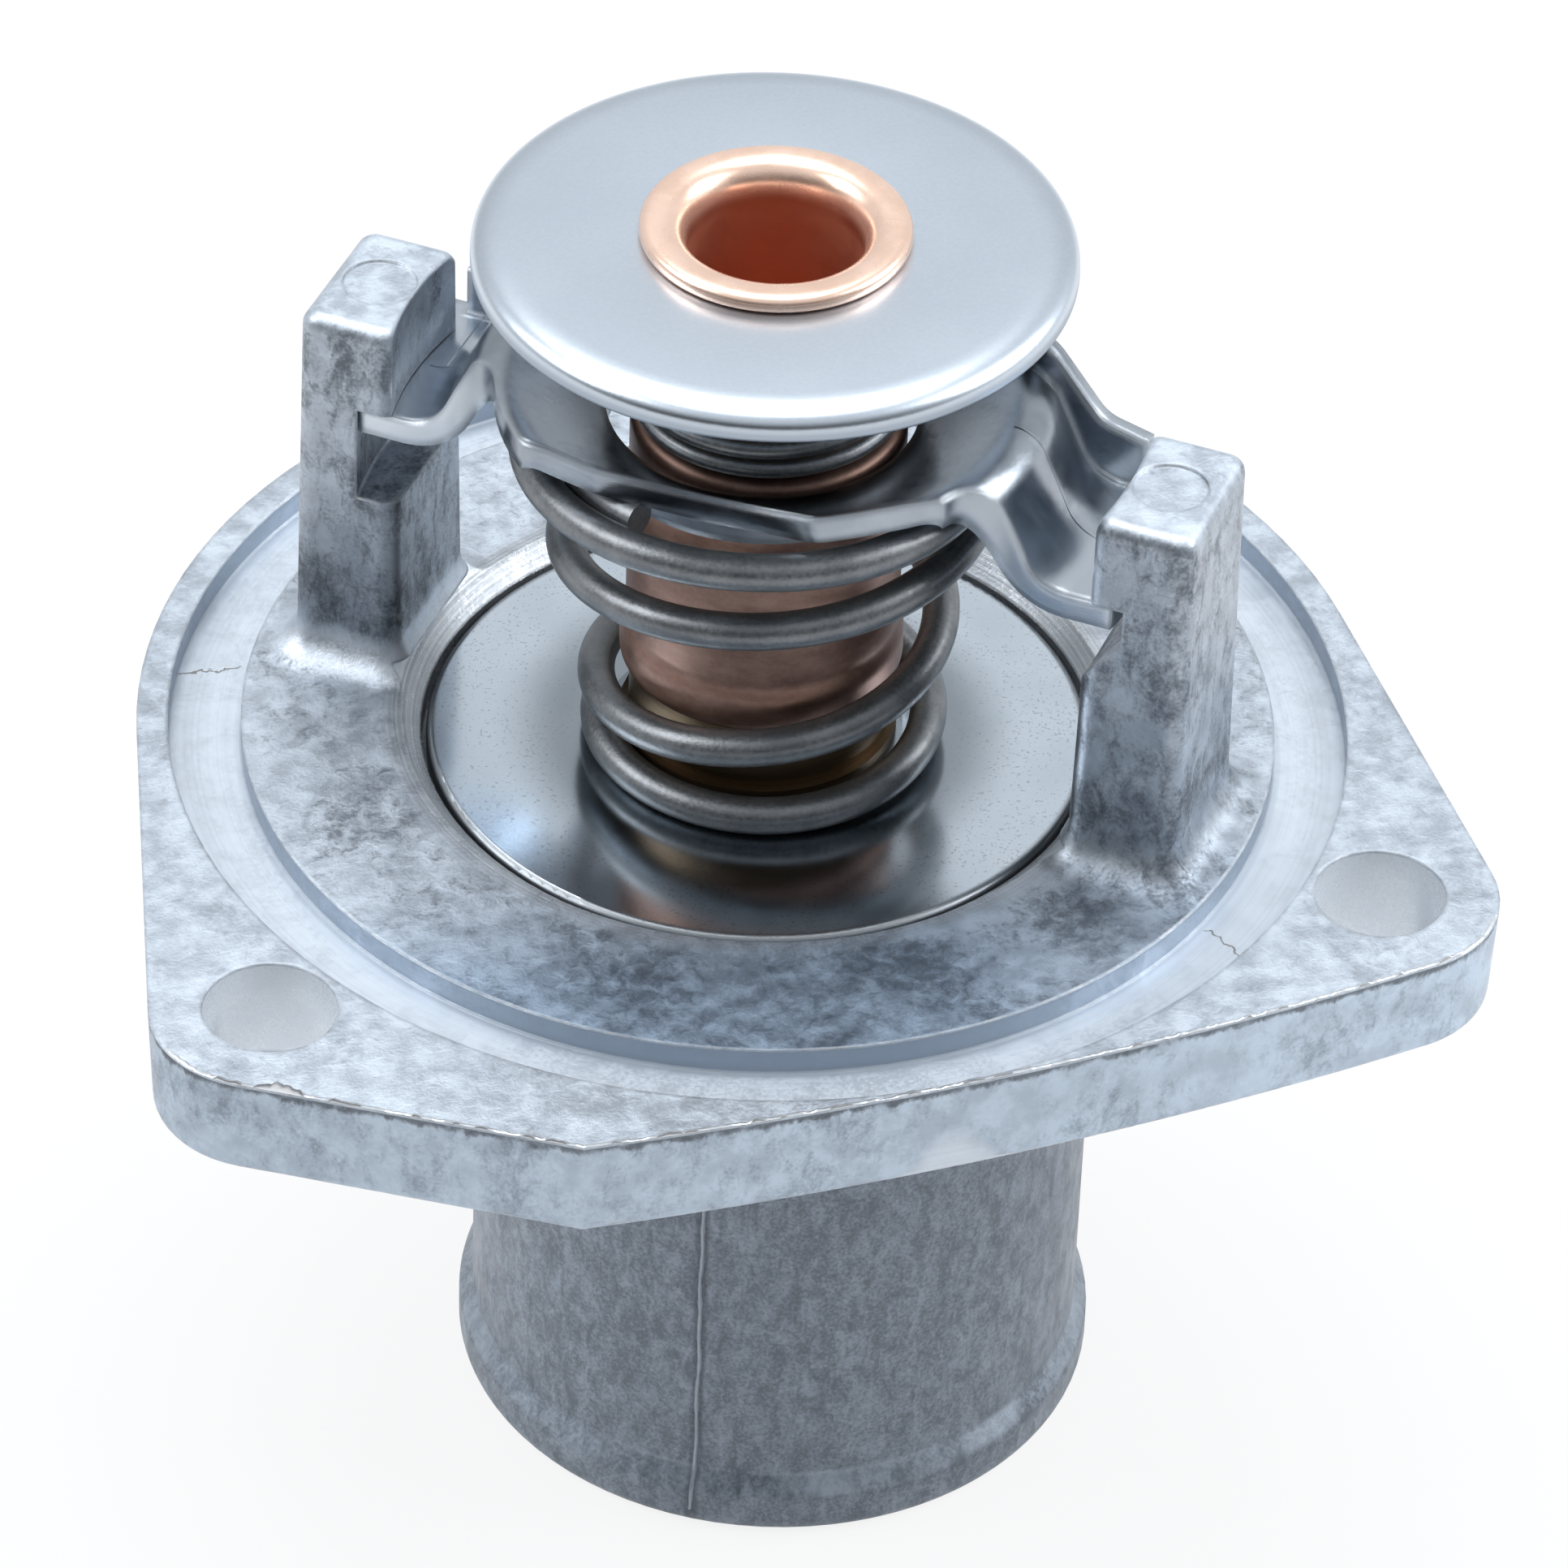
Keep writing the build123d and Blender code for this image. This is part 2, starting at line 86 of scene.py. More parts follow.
# Main spring: radius and rise of the wire's centre, in millimetres, against its turns
wire_r = 1.2 * mm
spring_turns = 4.165
spring_start = radians(162)
spring_radii = [(0, 10.65), (1.02, 10.7), (1.52, 11.35), (2.02, 12.7), (2.27, 13.3), (2.75, 14.4)]
spring_radii += [(3.0, 15.0), (3.17, 15.0), (3.45, 14.5), (3.85, 12.95), (4.05, 12.57), (spring_turns, 12.5)]
spring_rises = [(0, 0), (0.27, 0.02), (0.52, 0.95), (1.02, 3.45), (1.27, 5.75), (1.52, 8.7), (2.02, 14.3)]
spring_rises += [(2.27, 16.85), (3.02, 21.6), (3.27, 22.7), (spring_turns, 22.72)]
spring_foot = (0.36 * mm, -0.08 * mm)
spring_head = (-0.379 * mm, 0.243 * mm)

# Bypass spring
bypass_wire_r = 0.6 * mm
bypass_turns = 5.25
bypass_start = radians(165)
bypass_radii = [(0, 8.1), (bypass_turns, 8.1)]
bypass_rises = [(0, 0), (1.2, 1.68), (1.9, 3.45), (2.6, 5.34), (3.3, 7.23), (4.0, 9.0), (bypass_turns, 10.75)]

# Fineness of the two coils
coil_points = 420
ring_points = 28

# Casting
groove_in_r = 33.3 * mm
groove_out_r = 38.0 * mm
groove_depth = 1.85 * mm
flange_t = 7.3 * mm
bolt_half_spacing = 35.35 * mm
bolt_line_y = -24.0 * mm
bolt_hole_r = 4.2 * mm
pocket_r = 23.2 * mm
post_top = 26.35 * mm
front_y = -27 * mm
neck_shift = (2.3 * mm, -0.8 * mm)
neck_r = 20.4 * mm
bead_out = 0.9 * mm
bead_land = 3.2 * mm
bead_step = 1.3 * mm

# Parting line of the casting
seam_turn = radians(-115.8)
seam_step = 0.25 * mm
seam_depth = 0.12 * mm
seam_start = -flange_t - 1.2 * mm
seam_end_gap = 1.3 * mm

# Dirt on the boss as (x, y, reach), and cracks in the groove as (start, end), all in millimetres
dirt_places = [(-25.0, -5.5, 7.5), (4.0, -27.0, 7.0), (16.0, -22.5, 4.5), (-12.0, -24.0, 6.0)]
crack_lines = [((-36.2, 12.2), (-31.7, 12.3)), ((24.2, -23.4), (26.3, -27.2))]

# Burr on the front edge of the flange, with its nick
burr_step = 0.2 * mm
burr_fade = 12
burr_least = 0.01 * mm
nick_place = (-35.6 * mm, -31.2 * mm)
nick_reach = 1.8 * mm

# Bridge: its turn and shift, and the space over each lug that holds no wall
bridge_turn = radians(-32.66)
bridge_shift = 0.45 * mm
clear_in = 15.95 * mm
clear_out = 23.6 * mm
clear_front = 0.6 * mm
clear_rear = 7.12 * mm
clear_top = 31.0 * mm
clear_gap = 0.06 * mm
clear_step = 0.25 * mm
clear_probe = 1.0 * mm
normal_reach = 0.002 * mm

# Wax element
cup_foot = 5.4 * mm
cup_r = 9.1 * mm
cup_body_r = 8.75 * mm
cup_shoulder = 24.8 * mm
cavity_r = 7.55 * mm
cavity_top = 23.4 * mm
tube_out_r = 6.75 * mm
tube_in_r = 5.5 * mm
tube_floor = 25.8 * mm
lip_r = 8.5 * mm
lip_bottom = 37.8 * mm

# Bypass disc
bypass_top = 37.75 * mm
bypass_t = 0.9 * mm
bypass_rim = 2.0 * mm
bypass_bore = 6.9 * mm

floor_half = 3.0


class Value:
    """Output of a node. Sums, products and powers of it add the Math nodes that work them out."""

    def __init__(self, graph, source):
        self.graph = graph
        self.source = source

    def work(self, operation, first, second):
        return self.graph.node("ShaderNodeMath", {"operation": operation}, {0: first, 1: second})

    def __add__(self, other):
        return self.work("ADD", self, other)

    def __radd__(self, other):
        return self.work("ADD", other, self)

    def __sub__(self, other):
        return self.work("SUBTRACT", self, other)

    def __rsub__(self, other):
        return self.work("SUBTRACT", other, self)

    def __mul__(self, other):
        return self.work("MULTIPLY", self, other)

    def __rmul__(self, other):
        return self.work("MULTIPLY", other, self)

    def __pow__(self, other):
        return self.work("POWER", self, other)

    def __abs__(self):
        return self.graph.node("ShaderNodeMath", {"operation": "ABSOLUTE"}, {0: self})


class Graph:
    """Node tree of a material, a world or a shape, filled node by node."""

    def __init__(self, tree):
        self.tree = tree

    def node(self, kind, settings=None, inputs=None, output=0):
        made = self.tree.nodes.new(kind)
        for key, value in (settings or {}).items():
            setattr(made, key, value)
        for key, value in (inputs or {}).items():
            if isinstance(value, Value):
                self.tree.links.new(value.source, made.inputs[key])
            else:
                made.inputs[key].default_value = value
        return Value(self, made.outputs[output])

    def object_point(self):
        return self.node("ShaderNodeTexCoord", output="Object")

    def axes(self, point):
        split = self.node("ShaderNodeSeparateXYZ", inputs={0: point})
        return [Value(self, out) for out in split.source.node.outputs]

    def round_axes(self, point):
        """The three coordinates of a point, and its distance from the valve axis."""
        x, y, z = self.axes(point)
        return x, y, z, (x * x + y * y) ** 0.5

    def noise(self, point, size, detail=4.0, roughness=0.55, distortion=0.0):
        inputs = {"Vector": point, "Scale": 1 / size, "Detail": detail, "Roughness": roughness}
        return self.node("ShaderNodeTexNoise", inputs=inputs | {"Distortion": distortion})

    def stretch(self, point, scale):
        return self.node("ShaderNodeMapping", inputs={"Vector": point, "Scale": scale})

    def band(self, value, low, high, start=0.0, end=1.0):
        """Smooth step from start, where the value is low, to end, where it is high."""
        inputs = {"Value": value, 1: low, 2: high, 3: start, 4: end}
        return self.node("ShaderNodeMapRange", {"interpolation_type": "SMOOTHSTEP"}, inputs)

    def mix(self, share, first, second):
        """Colour between two, the first at share 0."""
        first = (*first, 1) if isinstance(first, tuple) else first
        second = (*second, 1) if isinstance(second, tuple) else second
        return self.node("ShaderNodeMix", {"data_type": "RGBA"}, {0: share, 6: first, 7: second}, 2)

    def tint(self, colour, strength):
        """Colour times a number that varies over the surface."""
        grey = self.node("ShaderNodeCombineColor", inputs={0: strength, 1: strength, 2: strength})
        return self.blend("MULTIPLY", colour, grey)

    def blend(self, kind, first, second):
        second = (*second, 1) if isinstance(second, tuple) else second
        settings = {"data_type": "RGBA", "blend_type": kind}
        return self.node("ShaderNodeMix", settings, {0: 1.0, 6: first, 7: second}, 2)

    def near(self, point, place, inner, outer):
        """1 within an inner distance of a place, 0 past an outer one."""
        apart = self.node("ShaderNodeVectorMath", {"operation": "DISTANCE"}, {0: point, 1: place}, 1)
        return self.band(apart, outer, inner)

    def profile(self, share, points):
        """Smooth curve through points of (place, value), read at a share of the last place."""
        last = points[-1][0]
        lowest = min(value for place, value in points)
        highest = max(value for place, value in points)
        reach = highest - lowest or 1
        made = self.tree.nodes.new("ShaderNodeFloatCurve")
        curve = made.mapping.curves[0]
        while len(curve.points) < len(points):
            curve.points.new(0.5, 0.5)
        for spot, (place, value) in enumerate(points):
            curve.points[spot].location = (place / last, (value - lowest) / reach)
            curve.points[spot].handle_type = "AUTO_CLAMPED"
        made.mapping.update()
        self.tree.links.new(share.source, made.inputs["Value"])
        return Value(self, made.outputs[0]) * reach + lowest

    def edges(self, width):
        """Rounded normal, and a share that is 1 on convex and concave edges and 0 on flat places."""
        soft = self.node("ShaderNodeBevel", {"samples": 3}, {"Radius": width})
        sharp = self.node("ShaderNodeNewGeometry", output="True Normal")
        same = self.node("ShaderNodeVectorMath", {"operation": "DOT_PRODUCT"}, {0: soft, 1: sharp}, 1)
        return soft, self.band(same, 0.97, 0.80)

    def bump(self, height, depth, strength=1.0, normal=None):
        inputs = {"Strength": strength, "Distance": depth, "Height": height}
        return self.node("ShaderNodeBump", inputs=inputs | ({"Normal": normal} if normal else {}))


def new_material(name):
    made = bpy.data.materials.new(name)
    made.use_nodes = True
    return made, Graph(made.node_tree), made.node_tree.nodes["Principled BSDF"]


def feed(shader, **inputs):
    """Set or link sockets of a shader. An underscore in a name stands for a space."""
    for key, value in inputs.items():
        socket = shader.inputs[key.replace("_", " ")]
        if isinstance(value, Value):
            value.graph.tree.links.new(value.source, socket)
        else:
            socket.default_value = (*value, 1) if isinstance(value, tuple) else value


def cast_aluminium():
    """Die casting: mottled skin with dirt in patches, a smooth groove, turned bores and a dull neck."""
    made, graph, shader = new_material("cast_metal")
    point = graph.object_point()
    x, y, z, radius = graph.round_axes(point)
    clouds = graph.noise(point, 2.2 * mm, 6, 0.6)
    drawn = graph.noise(graph.stretch(point, (1, 1, 0.55)), 1.15 * mm, 7, 0.68, 0.5)
    grain = graph.noise(point, 0.25 * mm, 3, 0.6)
    patches = graph.noise(point, 6.0 * mm, 3, 0.5)
    round_point = graph.node("ShaderNodeCombineXYZ", inputs={0: radius * 40, 2: z * 40})
    rings = graph.noise(round_point, 9 * mm, 3, 0.6)

    # Regions
    neck = graph.band(z, -flange_t + 0.4 * mm, -flange_t - 0.2 * mm)
    body = 1 - neck
    below = graph.band(z, -0.12 * mm, -0.2 * mm) * body
    side = below * graph.band(radius, groove_out_r + 0.05 * mm, groove_out_r + 0.15 * mm)
    raised = graph.band(z, 0.1 * mm, 1.2 * mm)
    top = graph.band(z, post_top - 0.35 * mm, post_top)
    boss = graph.band(radius, groove_in_r, groove_in_r - 0.2 * mm) * graph.band(z, -0.6 * mm, -0.2 * mm)
    boss = boss * (1 - raised)
    in_groove = below * graph.band(radius, groove_in_r - 0.4 * mm, groove_in_r - 0.2 * mm)
    in_groove = in_groove * graph.band(radius, groove_out_r + 0.15 * mm, groove_out_r + 0.05 * mm)
    floor = in_groove * graph.band(z, -groove_depth + 0.2 * mm, -groove_depth + 0.05 * mm)
    wall = in_groove - floor
    pocket = graph.band(radius, pocket_r + 1.6 * mm, pocket_r - 0.3 * mm) * (1 - raised) * body
    holes = 0.0
    for hole_x in (-bolt_half_spacing, bolt_half_spacing):
        away = ((x - hole_x) * (x - hole_x) + (y - bolt_line_y) * (y - bolt_line_y)) ** 0.5
        holes = holes + graph.band(away, bolt_hole_r + 0.3 * mm, bolt_hole_r + 0.12 * mm) * below
    front = graph.band(y, -12 * mm, front_y)
    low_post = raised * graph.band(z, 17 * mm, 2.5 * mm) * graph.band(z, 1.5 * mm, 4.0 * mm)

    # Dirt, thick in four places on the boss; painted shade low on the posts, and a painted shadow line under
    # the front edge
    stains = 0.0
    for across, along, reach in dirt_places:
        center = (across * mm, along * mm, 0)
        stains = stains + graph.near(point, center, 0.15 * reach * mm, reach * mm)
    smooth_part = in_groove + holes + top * 0.3 + pocket * 0.5
    lean = boss * (stains * 0.09 + front * 0.06) + raised * 0.045 + low_post * 0.04 + side * 0.01
    spread = drawn * 0.75 + grain * 0.25 + (patches - 0.5) * 0.5 + lean - smooth_part * 0.5
    # Dirt mask, which also carries a little of the painted shade low on the posts
    dirt_and_shade = graph.band(spread, 0.46, 0.76)
    lip_shade = graph.band(z + (drawn - 0.5) * (1.6 * mm), -0.75 * mm, -0.3 * mm)
    lip_shade = lip_shade * side * front * graph.band(clouds, 0.3, 0.5)

    # Colours
    pale = graph.mix(graph.band(clouds, 0.34, 0.66), (0.425, 0.47, 0.53), (0.565, 0.625, 0.695))
    mottle = graph.band(drawn * 0.7 + grain * 0.5, 0.45, 0.80)
    dull = graph.mix(mottle, (0.11, 0.13, 0.155), (0.27, 0.31, 0.365))
    smooth = graph.mix(graph.band(rings, 0.3, 0.7), (0.57, 0.625, 0.69), (0.63, 0.685, 0.75))
    turned = graph.mix(graph.band(rings, 0.35, 0.65), (0.24, 0.25, 0.26), (0.50, 0.525, 0.56))
    colour = graph.mix(dirt_and_shade * (0.5 + (boss + raised) * 0.34), pale, (0.095, 0.11, 0.13))
    shaded = boss * front * (1 - graph.band(x, 5 * mm, 16 * mm) * 0.45)
    colour = graph.mix(shaded, colour, graph.blend("MULTIPLY", colour, (0.60, 0.69, 0.79)))
    # Painted shade low on the posts and, more lightly, over their sides; painted light on the post tops
    colour = graph.tint(colour, 1 - low_post * (0.2 - x * 4) - raised * (1 - top) * 0.1 + top * 0.12)
    colour = graph.mix(side, colour, graph.blend("MULTIPLY", colour, (0.91, 0.96, 1.0)))
    # Painted light on the right of the flange's side face, painted shade on its left
    painted_side_light = graph.band(x, 5 * mm, 36 * mm) * 0.16 - graph.band(x, -5 * mm, -36 * mm) * 0.05
    colour = graph.tint(colour, 1 + side * painted_side_light)
    # Painted highlight on the fillet at the foot of the left post
    foot_highlight = graph.band(z, 0.05 * mm, 0.5 * mm) * graph.band(z, 2.9 * mm, 1.6 * mm)
    foot_highlight = foot_highlight * graph.band(x, 0, -8 * mm)
    colour = graph.mix(foot_highlight * 0.6, colour, (0.72, 0.78, 0.85))
    colour = graph.mix(lip_shade * 0.75, colour, (0.06, 0.065, 0.075))
    colour = graph.mix(pocket * (0.75 - front * 0.6), colour, turned)
    colour = graph.mix(floor, colour, smooth)
    colour = graph.mix(wall, colour, (0.34, 0.395, 0.465))
    colour = graph.mix(holes, colour, graph.mix(rings, (0.60, 0.64, 0.68), (0.76, 0.80, 0.84)))

    # Neck, darker beside the parting line, with painted light on its left side and a painted highlight in
    # patches on the step of its bead
    off_seam = (y - neck_shift[1]) * cos(seam_turn) - (x - neck_shift[0]) * sin(seam_turn)
    off_seam = abs(off_seam + (clouds - 0.5) * (0.5 * mm))
    beside = graph.band(off_seam, 0.6 * mm, 0.25 * mm) * graph.band(drawn, 0.35, 0.5)
    dull = graph.tint(dull, 1 - beside * 0.45)
    # Painted light on the left side of the neck
    dull = graph.tint(dull, 1 + graph.band(x, -4 * mm, -18 * mm) * 0.22)
    bead_foot = cad_box[0][2] + bead_land
    # Painted highlight in patches on the step of the bead
    step = graph.band(z, bead_foot - 0.2 * mm, bead_foot + 0.3 * mm)
    step = step * graph.band(z, bead_foot + bead_step + 0.5 * mm, bead_foot + bead_step)
    dull = graph.mix(step * graph.band(patches + drawn * 0.4, 0.5, 0.95) * 0.6, dull, (0.42, 0.48, 0.55))
    colour = graph.mix(neck, colour, dull)

    # Hairline cracks in the floor of the groove
    wander = graph.noise(point, 1.1 * mm, 3, 0.6)
    crack = 0.0  # grows to 1 in the line of a crack
    for start, end in crack_lines:
        run = Vector(end) - Vector(start)
        across = Vector((-run.y, run.x)).normalized()
        off = x * across.x + y * across.y - (across.dot(Vector(start))) * mm + (wander - 0.5) * (1.6 * mm)
        along = (x * run.x + y * run.y) * (1 / run.length) - run.normalized().dot(Vector(start)) * mm
        line = graph.band(abs(off), 0.10 * mm, 0.03 * mm)
        line = line * graph.band(along, 0, 0.3 * mm)
        line = line * graph.band(along, run.length * mm, (run.length - 0.3) * mm)
        crack = crack + line
    colour = graph.mix(crack * floor * 0.8, colour, (0.20, 0.17, 0.15))

    # Bright edges, partly bare worn metal and partly painted highlight, and the rough skin
    soft, edge = graph.edges(0.35 * mm)
    shine = edge * body * (1 - in_groove) * graph.band(drawn, 0.42, 0.60)
    colour = graph.mix(shine * 0.85, colour, (0.88, 0.91, 0.94))
    rough = graph.band(grain + clouds, 0.8, 1.2, 0.34, 0.50) + dirt_and_shade * 0.08 - pocket * 0.08 - holes * 0.1
    height = drawn + grain * 0.35 + clouds * 0.5
    height = height * (1 - in_groove) * (1 - holes) - crack * floor
    height = height + rings * (floor * 0.10 + pocket * (0.6 - front * 0.5) + holes * 0.05)
    normal = graph.bump(height, 0.08 * mm, 0.55, soft)
    metallic = 0.74 - neck * 0.34 - floor * 0.1 - holes * 0.5
    feed(shader, Base_Color=colour, Metallic=metallic, Roughness=rough, Normal=normal)
    return made


def stamped_steel():
    """Pressed steel: glossy face with a faint haze, a painted highlight on its rounded edges and outer part,
    and painted shade round the middle.
    """
    made, graph, shader = new_material("stamped_steel")
    point = graph.object_point()
    haze = graph.noise(point, 5 * mm, 4, 0.55)
    scratch = graph.noise(graph.stretch(point, (1, 1, 5)), 0.5 * mm, 3, 0.6)
    soft, edge = graph.edges(0.8 * mm)
    x, y, z, radius = graph.round_axes(point)
    # Painted shade round the middle of the dish
    painted_centre_shade = graph.band(radius, 14.5 * mm, 10.5 * mm)
    colour = graph.mix(graph.band(haze, 0.3, 0.7), (0.33, 0.365, 0.41), (0.43, 0.47, 0.52))
    # Painted light on the outer slopes and lugs
    colour = graph.mix(graph.band(radius, 18.5 * mm, 21 * mm), colour, (0.62, 0.67, 0.73))
    colour = graph.tint(colour, 1 - painted_centre_shade * 0.6)
    # Painted highlight along the edges
    colour = graph.mix(edge * 0.7, colour, (0.80, 0.84, 0.88))
    rough = graph.band(haze + scratch * 0.4, 0.5, 0.9, 0.14, 0.27)
    normal = graph.bump(haze * 3 + scratch * 0.5, 0.02 * mm, 0.5, soft)
    feed(shader, Base_Color=colour, Metallic=1.0, Roughness=rough, Normal=normal)
    return made


def spring_wire(name, dark, light):
    """Drawn wire, dull grey with a fine sheen."""
    made, graph, shader = new_material(name)
    point = graph.object_point()
    haze = graph.noise(point, 2.5 * mm, 5, 0.6)
    draw = graph.noise(point, 0.25 * mm, 3, 0.6)
    colour = graph.mix(graph.band(haze * 0.6 + draw * 0.4, 0.35, 0.65), dark, light)
    rough = graph.band(draw, 0.3, 0.7, 0.32, 0.44)
    feed(shader, Base_Color=colour, Metallic=0.8, Roughness=rough, Normal=graph.bump(draw, 0.03 * mm, 0.6))
    return made


def bright_steel():
    """Polished disc with fine pits, smudges, painted shade round the foot of the spring and a darker edge."""
    made, graph, shader = new_material("bright_steel")
    point = graph.object_point()
    x, y, z, radius = graph.round_axes(point)
    haze = graph.noise(point, 6 * mm, 4, 0.6)
    pits = graph.band(graph.noise(point, 0.20 * mm, 2, 0.5) + (haze - 0.5) * 0.25, 0.60, 0.70)
    # Painted shade round the foot of the spring
    painted_centre_shade = graph.band(radius, 17.5 * mm, 12.5 * mm)
    marks = graph.band(graph.noise(point, 1.6 * mm, 6, 0.7, 1.0), 0.64, 0.74)
    rim = graph.band(radius, 20.7 * mm, 21.1 * mm)
    colour = graph.mix(graph.band(haze, 0.3, 0.7), (0.72, 0.80, 0.88), (0.77, 0.845, 0.92))
    colour = graph.tint(colour, 1 - painted_centre_shade * 0.5)
    colour = graph.mix(pits * 0.4 + marks * 0.2, colour, (0.26, 0.27, 0.28))
    colour = graph.mix(rim * 0.8, colour, (0.16, 0.165, 0.17))
    rough = graph.band(haze, 0.3, 0.7, 0.13, 0.19) + marks * 0.1 + rim * 0.2
    feed(shader, Base_Color=colour, Metallic=1.0, Roughness=rough, Normal=graph.bump(haze, 0.02 * mm, 0.3))
    return made


def satin_steel():
    """Satin disc with a fine grain, shaded where its rim turns down."""
    made, graph, shader = new_material("satin_steel")
    point = graph.object_point()
    x, y, z = graph.axes(point)
    grain = graph.noise(point, 0.28 * mm, 2, 0.5)
    cloud = graph.noise(point, 8 * mm, 3, 0.5)
    skirt = graph.band(z, bypass_top - 0.9 * mm, bypass_top - 1.5 * mm)
    foot = graph.band(z, bypass_top - 1.6 * mm, bypass_top - 1.9 * mm)
    mottle = graph.band(grain * 0.5 + cloud * 0.5, 0.35, 0.65)
    colour = graph.mix(mottle, (0.62, 0.685, 0.76), (0.66, 0.725, 0.80))
    colour = graph.mix(skirt, colour, (0.40, 0.455, 0.52))
    colour = graph.mix(foot, colour, (0.16, 0.18, 0.21))
    rough = 0.30 + skirt * 0.06
    feed(shader, Base_Color=colour, Metallic=1.0, Roughness=rough, Normal=graph.bump(grain, 0.012 * mm, 0.4))
    return made


def copper():
    """Drawn copper: satin tarnished body with painted shade round its shoulder, polished pale lip, deep
    red-brown inside the neck.
    """
    made, graph, shader = new_material("copper")
    point = graph.object_point()
    x, y, z, radius = graph.round_axes(point)
    haze = graph.noise(graph.stretch(point, (1, 1, 2.2)), 3.2 * mm, 5, 0.6)
    fine = graph.noise(point, 0.35 * mm, 3, 0.6)
    inside = graph.band(radius, tube_in_r + 0.3 * mm, tube_in_r + 0.05 * mm)
    inside = inside * graph.band(z, tube_floor - mm, tube_floor)
    inside = inside * graph.band(z, lip_bottom - 0.2 * mm, lip_bottom - 1.4 * mm)
    lip = graph.band(z, lip_bottom - 2.0 * mm, lip_bottom - 0.5 * mm)
    tarnish = graph.band(haze * 0.8 + fine * 0.2, 0.32, 0.68)
    colour = graph.mix(tarnish, (0.25, 0.145, 0.11), (0.40, 0.25, 0.20))
    # Painted shade on the cup round its shoulder
    shoulder_shade = graph.band(z, cup_shoulder - 1.8 * mm, cup_shoulder - 0.6 * mm)
    shoulder_shade = shoulder_shade * graph.band(z, cup_shoulder + 3 * mm, cup_shoulder + 0.5 * mm)
    colour = graph.tint(colour, 1 - shoulder_shade * 0.55)
    polished = graph.mix(graph.band(haze, 0.3, 0.7), (0.93, 0.65, 0.51), (0.96, 0.70, 0.57))
    colour = graph.mix(lip, colour, polished)
    colour = graph.mix(inside, colour, (0.60, 0.27, 0.175))
    rough = graph.band(haze, 0.3, 0.7, 0.37, 0.46) - lip * 0.15 + inside * 0.13
    normal = graph.bump((haze + fine * 0.3) * (1 - lip), 0.02 * mm, 0.3)
    feed(shader, Base_Color=colour, Metallic=0.78 + inside * 0.22, Roughness=rough, Normal=normal)
    return made


def brass():
    """Turned brass, dark with oil, with fine rings."""
    made, graph, shader = new_material("brass")
    point = graph.object_point()
    rings = graph.noise(graph.stretch(point, (0.05, 0.05, 1)), 0.3 * mm, 2, 0.5)
    colour = graph.mix(rings, (0.11, 0.075, 0.045), (0.22, 0.155, 0.09))
    feed(shader, Base_Color=colour, Metallic=0.85, Roughness=0.4, Normal=graph.bump(rings, 0.02 * mm, 0.5))
    return made


def plain(name, first, second, roughness, size, metallic=0.0):
    """Finish with a slight mottle."""
    made, graph, shader = new_material(name)
    mottle = graph.noise(graph.object_point(), size, 4, 0.6)
    feed(shader, Base_Color=graph.mix(mottle, first, second), Metallic=metallic, Roughness=roughness)
    feed(shader, Normal=graph.bump(mottle, 0.05 * mm, 0.4))
    return made


materials = {
    "cast_metal": cast_aluminium(),
    "burr": plain("burr", (0.80, 0.83, 0.87), (0.90, 0.92, 0.94), 0.3, 0.6 * mm, 0.9),
    "seam": plain("seam", (0.20, 0.23, 0.27), (0.44, 0.49, 0.55), 0.45, 1.2 * mm, 0.5),
    "stamped_steel": stamped_steel(),
    "spring_steel": spring_wire("spring_steel", (0.165, 0.175, 0.185), (0.25, 0.263, 0.273)),
    "bright_steel": bright_steel(),
    "satin_steel": satin_steel(),
    "copper": copper(),
    "brass": brass(),
    "polished_pin": spring_wire("polished_pin", (0.52, 0.52, 0.53), (0.62, 0.62, 0.64)),
    "white_plastic": plain("white_plastic", (0.8, 0.8, 0.78), (0.7, 0.7, 0.68), 0.4, 1 * mm),
    "rubber": plain("rubber", (0.02, 0.02, 0.02), (0.04, 0.04, 0.04), 0.6, 0.5 * mm),
    "wax": plain("wax", (0.6, 0.5, 0.3), (0.7, 0.6, 0.4), 0.5, 2 * mm),
}


def dress_nodes():
    """Give each construction node the material that the record names for it."""
    slots = {part["node"]: part["material_slot"] for part in frame["record"]["subparts"]}
    for name, piece in frame["nodes"].items():
        piece.data.materials.clear()
        piece.data.materials.append(materials[slots[name]])


def new_object(name, data):
    """Object of the scene that holds the given data."""
    made = bpy.data.objects.new(name, data)
    bpy.context.scene.collection.objects.link(made)
    return made


def merged(name):
    """Editable copy of a construction node's mesh, in which faces that touch share their points."""
    shape = bmesh.new()
    shape.from_mesh(frame["nodes"][name].data)
    bmesh.ops.remove_doubles(shape, verts=shape.verts, dist=merge_gap)
    return shape


def as_mesh(name, shape):
    """Mesh with the faces of an editable shape, which ends here."""
    mesh = bpy.data.meshes.new(name)
    shape.to_mesh(mesh)
    shape.free()
    return mesh


